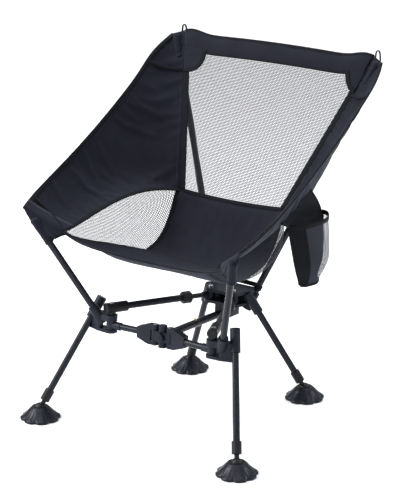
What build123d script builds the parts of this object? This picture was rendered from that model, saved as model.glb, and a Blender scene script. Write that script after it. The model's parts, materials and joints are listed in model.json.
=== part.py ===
"""Ultralight folding camp chair: a pole-and-hub frame that carries a fabric sling.

Millimetres, +Z up, the sitter faces -Y.  The origin is on the floor under the middle of
the chair's overall width and depth.  "left" and "right" are the sitter's own: left is +X.
"""

import os
from math import cos, radians, sin

from build123d import *

# ---------------------------------------------------------------- driving dimensions
# Stance: ball centres of the feet.
front_foot_x = 222.0
front_foot_y = -216.0
rear_foot_x = 135.0
rear_foot_y = 150.0

# Folding linkage.  Its plane is pitched down towards the back.
fold_pitch = 3.5
centre_y = -128.0
arm_height = 184.0
centre_pin_x = 17.0
hub_pin_x = 114.0
hub_pin_v = -6.0
rear_pin_x = 26.0
rear_pin_v = 191.0
strut_rise = 33.0

# Ends of the poles that carry the sling.
seat_tip_x = 217.0
seat_tip_y = -223.0
seat_tip_z = 392.0
back_tip_x = 226.0
back_tip_y = 237.0
back_tip_z = 652.0

# Where the poles enter the hubs, measured from the hub's own pin or from the middle.
seat_pole_entry = Vector(32, -13, 33)
front_leg_entry = Vector(35, 20, 42)
rear_leg_entry = Vector(43, 86, 214)
back_pole_entry = Vector(45, 111, 209)

# Tubes and moulded sockets.
pole_diameter = 12.5
pole_wall = 1.2
socket_wall = 3.0
socket_clearance = 0.15
pole_socket_depth = 36.0
leg_socket_depth = 44.0
strut_diameter = 13.0
strut_wall = 0.9
strut_inner_diameter = 9.6
strut_inner_wall = 1.0
strut_outer_length = 166.0
strut_inner_length = 184.0
centre_tube_diameter = 14.6
centre_tube_wall = 1.0
slide_clearance = 0.3
shock_cord_diameter = 3.0

# Pivots.
pin_diameter = 6.0
pin_clearance = 0.25
face_clearance = 0.4
eye_diameter = 18.0
ear_diameter = 24.0
eye_half_height = 8.0
lower_ear = 5.6
upper_ear = 11.6

# Feet.
foot_diameter = 76.0
foot_rim = 4.0
foot_height = 24.0
foot_ball_height = 20.0
foot_ball_diameter = 22.0
ball_clearance = 0.3
sleeve_diameter = 18.0
sleeve_start = 17.0
sleeve_end = 40.0
sleeve_floor = 4.0
foot_lobes = 8
foot_lobe_cut = 9.0
foot_crown_radius = 21.0
foot_crown_height = 18.0
foot_lip = 5.0

# Sling.
fabric = 1.6
seam_gap = 0.6
seam_x = 118.0
seam_y = 95.0
seam_z = 389.0
seat_corner_offset = Vector(-45, 27, -20)
top_corner_offset = Vector(-14, 11.5, 4)
ear_offset = Vector(18, -9, 22)
edge_top_offset = Vector(9, -1, 3)
edge_flare = 13.0
edge_sag = 21.0
seat_dip = 108.0
seat_deepest = 0.6
seat_flank = 7.0
seat_swell = 0.5
seat_swell_start = 4.0
seam_curve = 3.2
seam_rise = 16.0
front_edge_dip = 15.0
front_edge_set_back = 30.0
seam_sag = 5.0
top_edge_rise = 6.0
back_hollow = 2.0
top_band_height = 36.0
front_band_height = 24.0

# ---------------------------------------------------------------- derived layout
tilt = radians(fold_pitch)
fold = Plane(origin=(0, centre_y, arm_height), x_dir=(1, 0, 0), z_dir=(0, sin(tilt), cos(tilt)))
up = fold.z_dir
rise = Axis((0, 0, 0), up)
socket_bore = pole_diameter + 2 * socket_clearance
socket_diameter = socket_bore + 2 * socket_wall
pin_bore = pin_diameter + 2 * pin_clearance
ear_gap = eye_half_height + face_clearance
sides = (("left", 1), ("right", -1))
seat_tip = Vector(seat_tip_x, seat_tip_y, seat_tip_z)
back_tip = Vector(back_tip_x, back_tip_y, back_tip_z)
seat_corner = seat_tip + seat_corner_offset
top_corner = back_tip + top_corner_offset
seam_corner = Vector(seam_x, seam_y, seam_z)

os.makedirs("parts", exist_ok=True)


def save(piece, name):
    """Label one finished piece and write it under its own name."""
    piece.label = name
    export_step(piece, f"parts/{name}.step")


def in_fold(u, v, w=0.0):
    """A point given across, back along and up from the linkage plane."""
    return fold.from_local_coords(Vector(u, v, w))


def level(w):
    """The linkage plane raised by w."""
    return fold.offset(w)


def mirrored(point, side):
    """The same point on the chosen side of the chair."""
    return Vector(point.X * side, point.Y, point.Z)


def toward(start, end, distance):
    """The point that lies a distance from start on the way to end."""
    return start + (end - start).normalized() * distance


def rod(start, end, diameter, mode=Mode.ADD):
    """A round bar between two points, in whichever part is being built."""
    with Locations(Plane(origin=start, z_dir=end - start)):
        length = (end - start).length
        Cylinder(diameter / 2, length, align=(Align.CENTER, Align.CENTER, Align.MIN), mode=mode)


def tube(start, end, outside, wall):
    """A plain drawn tube between two points."""
    with BuildPart() as piece:
        with BuildSketch(Plane(origin=start, z_dir=end - start)):
            Circle(outside / 2)
            Circle(outside / 2 - wall, mode=Mode.SUBTRACT)
        extrude(amount=(end - start).length)
    return piece.part


def cord(start, end):
    """A straight run of elastic cord."""
    with BuildPart() as piece:
        rod(start, end, shock_cord_diameter)
    return piece.part


def group(*solids):
    """Several separate solids kept in one node."""
    return Part(children=list(solids))


# ---------------------------------------------------------------- key points, per side
def layout(side):
    """Every pivot, pole line and foot on one side."""
    point = {}
    point["centre_pin"] = in_fold(centre_pin_x * side, 0)
    point["hub_pin"] = in_fold(hub_pin_x * side, hub_pin_v)
    point["rear_pin"] = in_fold(rear_pin_x * side, rear_pin_v, strut_rise)
    point["strut_front"] = in_fold(hub_pin_x * side, hub_pin_v, strut_rise)
    hub = in_fold(hub_pin_x, hub_pin_v)
    point["seat_entry"] = mirrored(hub + seat_pole_entry, side)
    point["seat_tip"] = Vector(seat_tip_x * side, seat_tip_y, seat_tip_z)
    point["leg_entry"] = mirrored(hub + front_leg_entry, side)
    point["front_ball"] = Vector(front_foot_x * side, front_foot_y, foot_ball_height)
    point["rear_leg_entry"] = mirrored(rear_leg_entry, side)
    point["rear_ball"] = Vector(rear_foot_x * side, rear_foot_y, foot_ball_height)
    point["back_entry"] = mirrored(back_pole_entry, side)
    point["back_tip"] = Vector(back_tip_x * side, back_tip_y, back_tip_z)
    return point


# ---------------------------------------------------------------- rear hub
bridge_width = 96.0
eye_reach_back = 16.0
bridge_front_v = 178.0
bridge_back_v = 246.0
bridge_plate = 5.6
bridge_corner = 12.0
web_inset = 2.0
web_length = 34.0
web_back_gap = 3.0
web_corner = 10.0
spine_length = 62.0
spine_back_gap = 5.0
spine_corner = 6.0
strut_mouth_gap = 10.0
strut_stop_gap = 12.0
bore_overshoot = 30.0
with BuildPart() as rear_hub:
    for w in (strut_rise + ear_gap, strut_rise - ear_gap - bridge_plate):
        with BuildSketch(level(w)):
            with Locations((rear_pin_x, rear_pin_v), (-rear_pin_x, rear_pin_v)):
                Circle(ear_diameter / 2)
            with Locations((0, (rear_pin_v + bridge_back_v + eye_reach_back) / 2)):
                RectangleRounded(bridge_width, bridge_back_v - rear_pin_v - eye_reach_back, bridge_corner)
            make_hull()
        extrude(amount=bridge_plate)
    with BuildSketch(level(strut_rise - ear_gap)):
        with Locations((0, bridge_back_v - web_back_gap - web_length / 2)):
            RectangleRounded(bridge_width - 2 * web_inset, web_length, web_corner)
    extrude(amount=2 * ear_gap)
    with BuildSketch(level(-centre_tube_diameter / 2 - socket_wall)):
        with Locations((0, bridge_back_v - spine_back_gap - spine_length / 2)):
            RectangleRounded(centre_tube_diameter + 2 * socket_wall, spine_length, spine_corner)
    extrude(amount=centre_tube_diameter / 2 + strut_rise - ear_gap)
    for name, side in sides:
        point = layout(side)
        leg_end = toward(point["rear_leg_entry"], point["rear_ball"], leg_socket_depth)
        pole_end = toward(point["back_entry"], point["back_tip"], -pole_socket_depth)
        rod(point["rear_leg_entry"], leg_end, socket_diameter)
        rod(point["back_entry"], pole_end, socket_diameter)
    for name, side in sides:
        point = layout(side)
        leg_top = toward(point["rear_leg_entry"], point["rear_ball"], socket_wall)
        leg_end = toward(point["rear_leg_entry"], point["rear_ball"], leg_socket_depth + 1)
        rod(leg_top, leg_end, socket_bore, Mode.SUBTRACT)
        pole_foot = toward(point["back_entry"], point["back_tip"], socket_wall - pole_socket_depth)
        pole_out = toward(point["back_entry"], point["back_tip"], bore_overshoot)
        rod(pole_foot, pole_out, socket_bore, Mode.SUBTRACT)
        pin_low = point["rear_pin"] - up * bore_overshoot
        rod(pin_low, point["rear_pin"] + up * bore_overshoot, pin_diameter, Mode.SUBTRACT)
    strut_mouth = in_fold(0, bridge_front_v - strut_mouth_gap)
    strut_stop = in_fold(0, bridge_back_v - strut_stop_gap)
    rod(strut_mouth, strut_stop, centre_tube_diameter, Mode.SUBTRACT)
save(rear_hub.part, "rear_hub")

rear_pin_head = 10.0
rear_pin_head_height = 2.0
with BuildPart() as rear_pins:
    for name, side in sides:
        low = layout(side)["rear_pin"] - up * (ear_gap + bridge_plate)
        high = layout(side)["rear_pin"] + up * (ear_gap + bridge_plate)
        rod(low, high, pin_diameter)
        rod(high, high + up * rear_pin_head_height, rear_pin_head)
save(rear_pins.part, "rear_pins")

# ---------------------------------------------------------------- centre strut and button
strut_tube_front = 38.0
strut_tube_back = bridge_back_v - strut_stop_gap
inner_tube_diameter = centre_tube_diameter - 2 * centre_tube_wall - 2 * slide_clearance
inner_tube_back = 178.0
block_depth = 24.0
inner_tube_seat = 12.0
button_v = 103.0
button_diameter = 5.0
button_travel = 2.5
button_clearance = 0.3
slot_clearance = 0.5
button_root = 4.2
button_dome = 1.2
tube_cut = 20.0
fold_travel = 55.0

with BuildPart() as centre_strut_outer:
    with BuildSketch(Plane(origin=in_fold(0, strut_tube_front), z_dir=fold.y_dir)):
        Circle(centre_tube_diameter / 2)
        Circle(centre_tube_diameter / 2 - centre_tube_wall, mode=Mode.SUBTRACT)
    extrude(amount=strut_tube_back - strut_tube_front)
    button_hole = button_diameter + 2 * button_clearance
    rod(in_fold(0, button_v), in_fold(0, button_v, tube_cut), button_hole, Mode.SUBTRACT)
save(centre_strut_outer.part, "centre_strut_outer")

with BuildPart() as centre_strut_inner:
    with BuildSketch(Plane(origin=in_fold(0, block_depth - inner_tube_seat), z_dir=fold.y_dir)):
        Circle(inner_tube_diameter / 2)
        Circle(inner_tube_diameter / 2 - centre_tube_wall, mode=Mode.SUBTRACT)
    extrude(amount=inner_tube_back - block_depth + inner_tube_seat)
    with BuildSketch(level(0)):
        with Locations((0, button_v + fold_travel / 2)):
            SlotCenterToCenter(fold_travel, button_diameter + 2 * slot_clearance, rotation=90)
    extrude(amount=tube_cut, mode=Mode.SUBTRACT)
save(centre_strut_inner.part, "centre_strut_inner")

button_height = 2.6
with BuildPart() as snap_button:
    top = centre_tube_diameter / 2 + button_height
    rod(in_fold(0, button_v, button_root), in_fold(0, button_v, top), button_diameter)
    fillet(snap_button.edges().sort_by(rise)[-1], button_dome)
save(snap_button.part, "snap_button")

# ---------------------------------------------------------------- centre block
barrel_diameter = 16.0
barrel_half_height = 21.0
lug_half_height = 9.6
lug_diameter = 15.0
cap_boss_diameter = 12.0
cap_boss_reach = 5.0
cap_room_diameter = 9.4
cap_diameter = 9.0
cap_inset = 3.0
cap_length = 4.0
cap_edge = 1.0
pin_head_diameter = 9.0
pin_head_height = 1.6
with BuildPart() as centre_block:
    with BuildSketch(level(-barrel_half_height)):
        Circle(barrel_diameter / 2)
    extrude(amount=2 * barrel_half_height)
    with BuildSketch(level(-lug_half_height)):
        with Locations((centre_pin_x, 0), (-centre_pin_x, 0)):
            Circle(lug_diameter / 2)
        make_hull()
    extrude(amount=2 * lug_half_height)
    rod(in_fold(0, 0), in_fold(0, block_depth), centre_tube_diameter + socket_wall)
    rod(in_fold(0, 0), in_fold(0, -barrel_diameter / 2 - cap_boss_reach), cap_boss_diameter)
    tube_floor = in_fold(0, block_depth - inner_tube_seat)
    rod(tube_floor, in_fold(0, block_depth + 1), inner_tube_diameter, Mode.SUBTRACT)
    cap_floor = in_fold(0, -barrel_diameter / 2)
    cap_mouth = in_fold(0, -barrel_diameter / 2 - cap_boss_reach - 1)
    rod(cap_floor, cap_mouth, cap_room_diameter, Mode.SUBTRACT)
    for name, side in sides:
        low = in_fold(centre_pin_x * side, 0, -barrel_half_height)
        rod(low, low + up * 2 * barrel_half_height, pin_diameter, Mode.SUBTRACT)
save(centre_block.part, "centre_block")

with BuildPart() as centre_cap:
    cap_back = -barrel_diameter / 2 - cap_inset
    rod(in_fold(0, cap_back), in_fold(0, cap_back - cap_length), cap_diameter)
    fillet(centre_cap.edges().sort_by(Axis.Y)[0], cap_edge)
save(centre_cap.part, "centre_cap")

fork_half_height = 19.0
with BuildPart() as centre_pins:
    for name, side in sides:
        low = in_fold(centre_pin_x * side, 0, -fork_half_height)
        high = low + up * 2 * fork_half_height
        rod(low, high, pin_diameter)
        rod(low - up * pin_head_height, low, pin_head_diameter)
        rod(high, high + up * pin_head_height, pin_head_diameter)
save(centre_pins.part, "centre_pins")

# ---------------------------------------------------------------- swinging arms
fork_thickness = 14.0
fork_length = 36.0
fork_end_half_height = 10.5
fork_ear_diameter = 15.0
arm_tube_diameter = 12.5
arm_socket_depth = 14.0
fork_slot_reach = 10.0
fork_taper_start = 0.35
eye_reach = 22.0
eye_socket_depth = 9.0
eye_wall = 1.5
for name, side in sides:
    point = layout(side)
    arm = point["hub_pin"] - point["centre_pin"]
    arm_length = arm.length
    direction = arm.normalized()
    across = Plane(origin=point["centre_pin"], x_dir=direction, z_dir=direction.cross(up) * side)

    with BuildPart() as arm_fork:
        with BuildSketch(across.offset(-fork_thickness / 2)):
            Polygon(
                (0, -fork_half_height * side),
                (0, fork_half_height * side),
                (fork_length * fork_taper_start, fork_half_height * side),
                (fork_length, fork_end_half_height * side),
                (fork_length, -fork_end_half_height * side),
                (fork_length * fork_taper_start, -fork_half_height * side),
                align=None,
            )
        extrude(amount=fork_thickness)
        rod(point["centre_pin"] - up * fork_half_height, point["centre_pin"] + up * fork_half_height,
            fork_ear_diameter)
        slot_low = point["centre_pin"] - up * (lug_half_height + face_clearance)
        slot_high = point["centre_pin"] + up * (lug_half_height + face_clearance)
        rod(slot_low, slot_high, 2 * fork_slot_reach, Mode.SUBTRACT)
        bore_low = point["centre_pin"] - up * bore_overshoot
        rod(bore_low, bore_low + up * 2 * bore_overshoot, pin_bore, Mode.SUBTRACT)
        tube_seat = toward(point["centre_pin"], point["hub_pin"], fork_length - arm_socket_depth)
        rod(tube_seat, point["hub_pin"], arm_tube_diameter, Mode.SUBTRACT)
    save(arm_fork.part, f"arm_fork_{name}")

    tube_end = toward(point["hub_pin"], point["centre_pin"], eye_reach - eye_socket_depth)
    save(tube(tube_seat, tube_end, arm_tube_diameter, pole_wall), f"arm_tube_{name}")

    with BuildPart() as arm_eye:
        eye_low = point["hub_pin"] - up * eye_half_height
        rod(eye_low, eye_low + up * 2 * eye_half_height, eye_diameter)
        rod(point["hub_pin"], toward(point["hub_pin"], point["centre_pin"], eye_reach),
            arm_tube_diameter + 2 * eye_wall)
        rod(tube_end, toward(point["hub_pin"], point["centre_pin"], eye_reach + 1),
            arm_tube_diameter, Mode.SUBTRACT)
        rod(eye_low - up, eye_low + up * (2 * eye_half_height + 1), pin_bore, Mode.SUBTRACT)
    save(arm_eye.part, f"arm_eye_{name}")

# ---------------------------------------------------------------- front hubs
strut_boss_diameter = 17.0
strut_socket_diameter = 20.0
strut_socket_back = 12.0
strut_socket_front = 32.0
strut_socket_edge = 2.0
strut_tube_seat = 10.0
strut_screw_room = 9.0
strut_screw_floor = 6.0
strut_screw_top = 12.0
hub_corner_radius = 7.0
hub_web_radius = 6.0
hub_pole_inset = 8.0
hub_leg_inset = 10.0
hub_web_shift = 1.0
eye_room = 1.5
hub_pin_above_strut = 5.0
hub_pin_head = 10.0
hub_pin_head_height = 2.0
hub_pin_head_edge = 0.8
collar_diameter = 23.5
collar_length = 20.0
collar_past_tube = 5.0
collar_edge = 2.5
collar_stop_gap = 0.4
strut_eye_seat = 9.0
strut_eye_reach = 18.0
for name, side in sides:
    point = layout(side)
    hub = point["hub_pin"]
    pole_foot = toward(point["seat_entry"], point["seat_tip"], -pole_socket_depth)
    leg_end = toward(point["leg_entry"], point["front_ball"], leg_socket_depth)
    pin_uv = fold.to_local_coords(hub)
    pole_mark = toward(point["seat_entry"], point["seat_tip"], hub_pole_inset - pole_socket_depth)
    leg_mark = toward(point["leg_entry"], point["front_ball"], leg_socket_depth - hub_leg_inset)
    pole_uv = fold.to_local_coords(pole_mark)
    leg_uv = fold.to_local_coords(leg_mark)

    with BuildPart() as front_hub:
        for w, thickness in ((-ear_gap - lower_ear, lower_ear), (ear_gap, upper_ear)):
            with BuildSketch(level(w)):
                with Locations((pin_uv.X, pin_uv.Y)):
                    Circle(ear_diameter / 2)
                with Locations((pole_uv.X, pole_uv.Y), (leg_uv.X, leg_uv.Y)):
                    Circle(hub_corner_radius)
                make_hull()
            extrude(amount=thickness)
        with BuildSketch(level(-ear_gap)):
            with Locations((pole_uv.X + hub_web_shift * side, pole_uv.Y), (leg_uv.X, leg_uv.Y)):
                Circle(hub_web_radius)
            make_hull()
        extrude(amount=2 * ear_gap)
        rod(pole_foot, point["seat_entry"], socket_diameter)
        rod(leg_end, point["leg_entry"], socket_diameter)
        eye_space = eye_diameter + 2 * eye_room
        rod(hub - up * ear_gap, hub + up * ear_gap, eye_space, Mode.SUBTRACT)
        pole_seat = toward(point["seat_entry"], point["seat_tip"], socket_wall - pole_socket_depth)
        rod(pole_seat, toward(point["seat_entry"], point["seat_tip"], 1), socket_bore, Mode.SUBTRACT)
        leg_top = toward(point["leg_entry"], point["front_ball"], socket_wall)
        rod(leg_top, toward(point["leg_entry"], point["front_ball"], leg_socket_depth + bore_overshoot),
            socket_bore, Mode.SUBTRACT)
        rod(hub - up * bore_overshoot, hub + up * bore_overshoot, pin_diameter, Mode.SUBTRACT)
    save(front_hub.part, f"front_hub_{name}")

    strut_dir = (point["rear_pin"] - point["strut_front"]).normalized()
    socket_tail = point["strut_front"] - strut_dir * strut_socket_back
    socket_mouth = point["strut_front"] + strut_dir * strut_socket_front
    tube_start = point["strut_front"] + strut_dir * strut_tube_seat
    with BuildPart() as strut_socket:
        rod(hub + up * (ear_gap + upper_ear), point["strut_front"], strut_boss_diameter)
        rod(socket_tail, socket_mouth, strut_socket_diameter)
        fillet(strut_socket.edges().filter_by(GeomType.CIRCLE).sort_by(Axis.Y)[:1], strut_socket_edge)
        rod(tube_start, socket_mouth + strut_dir, strut_diameter, Mode.SUBTRACT)
        screw_floor = point["strut_front"] + up * strut_screw_floor
        rod(hub, screw_floor, pin_diameter, Mode.SUBTRACT)
        rod(screw_floor, point["strut_front"] + up * strut_screw_top, strut_screw_room, Mode.SUBTRACT)
    save(strut_socket.part, f"strut_socket_{name}")

    with BuildPart() as hub_pin:
        head_top = hub - up * (ear_gap + lower_ear)
        rod(head_top, hub + up * (strut_rise + hub_pin_above_strut), pin_diameter)
        rod(head_top - up * hub_pin_head_height, head_top, hub_pin_head)
        fillet(hub_pin.edges().sort_by(rise)[0], hub_pin_head_edge)
    save(hub_pin.part, f"hub_pin_{name}")

    tube_end = point["strut_front"] + strut_dir * strut_outer_length
    save(tube(tube_start, tube_end, strut_diameter, strut_wall), f"strut_outer_{name}")

    with BuildPart() as strut_collar:
        collar_start = tube_end - strut_dir * (collar_length - collar_past_tube)
        collar_end = tube_end + strut_dir * collar_past_tube
        rod(collar_start, collar_end, collar_diameter)
        chamfer(strut_collar.edges().filter_by(GeomType.CIRCLE), collar_edge)
        rod(collar_start - strut_dir, tube_end + strut_dir * collar_stop_gap,
            strut_diameter + 2 * slide_clearance, Mode.SUBTRACT)
        inner_room = strut_diameter - 2 * strut_wall
        rod(collar_start, collar_end + strut_dir, inner_room, Mode.SUBTRACT)
    save(strut_collar.part, f"strut_collar_{name}")

    inner_start = point["rear_pin"] - strut_dir * strut_eye_seat
    inner_end = inner_start - strut_dir * strut_inner_length
    save(tube(inner_start, inner_end, strut_inner_diameter, strut_inner_wall), f"strut_inner_{name}")

    with BuildPart() as strut_eye:
        eye_low = point["rear_pin"] - up * eye_half_height
        rod(eye_low, eye_low + up * 2 * eye_half_height, eye_diameter)
        eye_end = point["rear_pin"] - strut_dir * strut_eye_reach
        rod(point["rear_pin"], eye_end, strut_inner_diameter + 2 * eye_wall)
        eye_mouth = point["rear_pin"] - strut_dir * (strut_eye_reach + 1)
        rod(inner_start, eye_mouth, strut_inner_diameter, Mode.SUBTRACT)
        rod(eye_low - up, eye_low + up * (2 * eye_half_height + 1), pin_bore, Mode.SUBTRACT)
    save(strut_eye.part, f"strut_eye_{name}")

# ---------------------------------------------------------------- poles, legs and cords
cord_gap = 6.0
rear_cords = []
for name, side in sides:
    point = layout(side)
    pole_seat = toward(point["seat_entry"], point["seat_tip"], socket_wall - pole_socket_depth)
    save(tube(pole_seat, point["seat_tip"], pole_diameter, pole_wall), f"seat_pole_{name}")
    leg_top = toward(point["leg_entry"], point["front_ball"], socket_wall)
    leg_foot = toward(point["front_ball"], point["leg_entry"], sleeve_start + sleeve_floor)
    save(tube(leg_top, leg_foot, pole_diameter, pole_wall), f"front_leg_{name}")
    leg_cord = cord(toward(leg_top, leg_foot, cord_gap), toward(leg_foot, leg_top, cord_gap))
    pole_cord = cord(toward(pole_seat, point["seat_tip"], cord_gap),
                     toward(point["seat_tip"], pole_seat, cord_gap))
    save(group(leg_cord, pole_cord), f"shock_cords_{name}")

    pole_seat = toward(point["back_entry"], point["back_tip"], socket_wall - pole_socket_depth)
    save(tube(pole_seat, point["back_tip"], pole_diameter, pole_wall), f"back_pole_{name}")
    leg_top = toward(point["rear_leg_entry"], point["rear_ball"], socket_wall)
    leg_foot = toward(point["rear_ball"], point["rear_leg_entry"], sleeve_start + sleeve_floor)
    save(tube(leg_top, leg_foot, pole_diameter, pole_wall), f"rear_leg_{name}")
    rear_cords.append(cord(toward(leg_top, leg_foot, cord_gap), toward(leg_foot, leg_top, cord_gap)))
    rear_cords.append(cord(toward(pole_seat, point["back_tip"], cord_gap),
                           toward(point["back_tip"], pole_seat, cord_gap)))
save(group(*rear_cords), "shock_cords_rear")

# ---------------------------------------------------------------- feet
neck_diameter = 9.0
cavity_radius = foot_ball_diameter / 2 + ball_clearance
for name, side in sides:
    point = layout(side)
    for place, ball, entry in (("front", "front_ball", "leg_entry"), ("rear", "rear_ball", "rear_leg_entry")):
        centre = point[ball]
        leg_dir = (point[entry] - centre).normalized()
        profile_plane = Plane(origin=centre, x_dir=leg_dir.cross(Vector(0, 0, 1)),
                              z_dir=leg_dir.cross(Vector(0, 0, 1)).cross(leg_dir))
        ball_radius = foot_ball_diameter / 2
        neck_radius = neck_diameter / 2
        with BuildPart() as foot_joint:
            with BuildSketch(profile_plane):
                with BuildLine():
                    neck_foot = (neck_radius, (ball_radius**2 - neck_radius**2) ** 0.5)
                    ThreePointArc((0, -ball_radius), (ball_radius, 0), neck_foot)
                    Polyline(
                        neck_foot,
                        (neck_radius, sleeve_start),
                        (sleeve_diameter / 2, sleeve_start),
                        (sleeve_diameter / 2, sleeve_end - 1),
                        (sleeve_diameter / 2 - 1, sleeve_end),
                        (pole_diameter / 2, sleeve_end),
                        (pole_diameter / 2, sleeve_start + sleeve_floor),
                        (0, sleeve_start + sleeve_floor),
                        (0, -ball_radius),
                    )
                make_face()
            revolve(axis=Axis(centre, leg_dir))
        save(foot_joint.part, f"foot_joint_{place}_{name}")

        lip = foot_height - foot_ball_height
        lip_radius = (cavity_radius**2 - lip**2) ** 0.5
        with BuildPart() as foot:
            with BuildSketch(Plane(origin=(centre.X, centre.Y, 0), x_dir=(1, 0, 0), z_dir=(0, -1, 0))):
                with BuildLine():
                    Polyline(
                        (0, foot_ball_height - cavity_radius),
                        (0, 0),
                        (foot_diameter / 2, 0),
                        (foot_diameter / 2, foot_rim),
                        (foot_crown_radius, foot_crown_height),
                        (lip_radius + foot_lip, foot_height),
                        (lip_radius, foot_height),
                    )
                    ThreePointArc(
                        (lip_radius, foot_height),
                        (cavity_radius, foot_ball_height),
                        (0, foot_ball_height - cavity_radius),
                    )
                make_face()
            revolve(axis=Axis((centre.X, centre.Y, 0), (0, 0, 1)))
            with Locations((centre.X, centre.Y, 0)):
                with PolarLocations(foot_diameter / 2 + foot_lip, foot_lobes, start_angle=180 / foot_lobes):
                    Cylinder(foot_lobe_cut, 2 * foot_height + foot_rim, mode=Mode.SUBTRACT)
        save(foot.part, f"foot_{place}_{name}")


# ---------------------------------------------------------------- sling
def blend(low, high, share):
    """The point part way between two points."""
    return low + (high - low) * share


def sheet(point_at, across=7, along=7):
    """A fabric panel: a smooth surface through a grid of points, given its thickness."""
    grid = [[point_at(i / across, j / along) for j in range(along + 1)] for i in range(across + 1)]
    surface = Face.make_surface_from_array_of_points(grid)
    return Solid.thicken(surface, fabric)


def seat_at(share_u, share_v):
    """Seat: share_u runs right to left, share_v runs from the front edge to the back seam."""
    u = 2 * share_u - 1
    half = seam_x + (seat_corner.X - seam_x) * (1 - share_v**seam_curve)
    middle = blend(seat_corner, seam_corner, share_v)
    rise_here = seam_rise * 27 / 4 * share_v**2 * (1 - share_v)
    front_pull = front_edge_set_back * (1 - u**2) * (1 - share_v)
    if share_v < seat_deepest:
        depth = 1 - (1 - front_edge_dip / seat_dip) * (1 - share_v / seat_deepest) ** 2
    else:
        depth = 1 - ((share_v - seat_deepest) / (1 - seat_deepest)) ** 3
    belly = (1 - abs(u) ** seat_flank) * depth * seat_dip + seam_sag * (1 - u**2) * share_v
    swell = seat_swell * depth * abs(u) ** seat_swell_start * (1 - abs(u) ** seat_flank)
    return Vector(half * u * (1 + swell), middle.Y + front_pull, middle.Z + rise_here - belly)


def back_at(share_u, share_v):
    """Back: share_u runs right to left, share_v runs from the seam to the top edge."""
    u = 2 * share_u - 1
    middle = blend(seam_corner, top_corner, share_v)
    hollow = back_hollow * 4 * share_v * (1 - share_v)
    lift = top_edge_rise * share_v - seam_sag * (1 - share_v)
    return Vector(middle.X * u, middle.Y + hollow * (1 - u**2), middle.Z + lift * (1 - u**2))


def part_of(point_at, low_u, high_u, low_v, high_v):
    """The same surface over a smaller range."""
    return lambda u, v: point_at(low_u + (high_u - low_u) * u, low_v + (high_v - low_v) * v)


def edge_at(share):
    """The free outer edge of the sling, from the front corner to the top corner."""
    straight = blend(seat_tip + ear_offset, back_tip + edge_top_offset, share)
    flare = edge_flare * (1 - abs(2 * share - 1) ** 6)
    return straight + Vector(flare, 0, -4 * edge_sag * share * (1 - share))


def side_low_at(share_u, share_v):
    """Side beside the seat: share_u runs outwards, share_v runs backwards."""
    inner = seat_at(1.0, share_v) + Vector(1.5, 0, 2.5)
    return blend(inner, edge_at(0.5 * share_v), share_u)


def side_high_at(share_u, share_v):
    """Side beside the back: share_u runs outwards, share_v runs upwards."""
    inner = back_at(1.0, share_v) + Vector(2.5, -2.5, 1.0)
    return blend(inner, edge_at(0.5 + 0.5 * share_v), share_u)


back_length = Vector(0, top_corner.Y - seam_y, top_corner.Z - seam_z).length
band_share = 1 - top_band_height / back_length
gap_v = seam_gap / back_length
save(sheet(part_of(seat_at, 0.01, 0.99, 0.02, 0.985)), "seat_panel")
save(sheet(part_of(back_at, 0.01, 0.99, 0.015, band_share - gap_v)), "back_panel")
save(sheet(part_of(back_at, 0.01, 0.99, band_share + gap_v, 1.0)), "top_band")

# Each side is two panels that meet along the fold from the back seam to the outer edge.
for name, side in sides:
    low_panel = sheet(part_of(side_low_at, 0.0, 1.0, 0.02, 0.992))
    high_panel = sheet(part_of(side_high_at, 0.0, 1.0, 0.008, 0.78))
    if side < 0:
        low_panel = low_panel.mirror(Plane.YZ)
        high_panel = high_panel.mirror(Plane.YZ)
    save(group(low_panel, high_panel), f"side_panel_{name}")


def front_hem_at(share_u, share_v):
    """The band that hangs below the front edge of the seat."""
    edge = seat_at(share_u, 0.0)
    return edge + Vector(0, 10 * share_v - 2, -front_band_height * share_v - 2)


save(sheet(part_of(front_hem_at, 0.04, 0.96, 0.0, 1.0)), "front_band")


# ---------------------------------------------------------------- pockets and loops
pocket_clearance = 0.4
pocket_length = 62.0
pocket_past_tip = 5.0
corner_pocket_length = 44.0


def pole_pocket(base, tip, length):
    """A sewn sleeve, closed over the end of a pole."""
    closed_end = toward(tip, base, -pocket_past_tip)
    open_end = toward(tip, base, length)
    with BuildPart() as piece:
        rod(open_end, closed_end, pole_diameter + 2 * pocket_clearance + 2 * fabric)
        rod(open_end, toward(tip, base, -pocket_clearance), pole_diameter + 2 * pocket_clearance,
            Mode.SUBTRACT)
    return piece.part


for label, base, tip, length in (
    ("seat_pole_pockets", "seat_entry", "seat_tip", pocket_length),
    ("back_pole_pockets", "back_entry", "back_tip", corner_pocket_length),
):
    pockets = [pole_pocket(layout(side)[base], layout(side)[tip], length) for name, side in sides]
    save(group(*pockets), label)

loop_width = 9.0
loop_height = 16.0
loop_strap = 2.0
loop_thickness = 3.0
loop_offset = Vector(6, 4, 4)
loops = []
for name, side in sides:
    with BuildPart() as webbing_loop:
        foot = top_corner + loop_offset
        with Locations(Plane(origin=(foot.X * side, foot.Y, foot.Z), x_dir=(1, 0, 0), z_dir=(0, -1, 0))):
            Box(loop_width, loop_height, loop_thickness, align=(Align.CENTER, Align.MIN, Align.CENTER))
            with Locations((0, loop_thickness, 0)):
                Box(
                    loop_width - 2 * loop_strap,
                    loop_height - loop_thickness - loop_strap,
                    2 * loop_thickness,
                    align=(Align.CENTER, Align.MIN, Align.CENTER),
                    mode=Mode.SUBTRACT,
                )
    loops.append(webbing_loop.part)
save(group(*loops), "webbing_loops")

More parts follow.
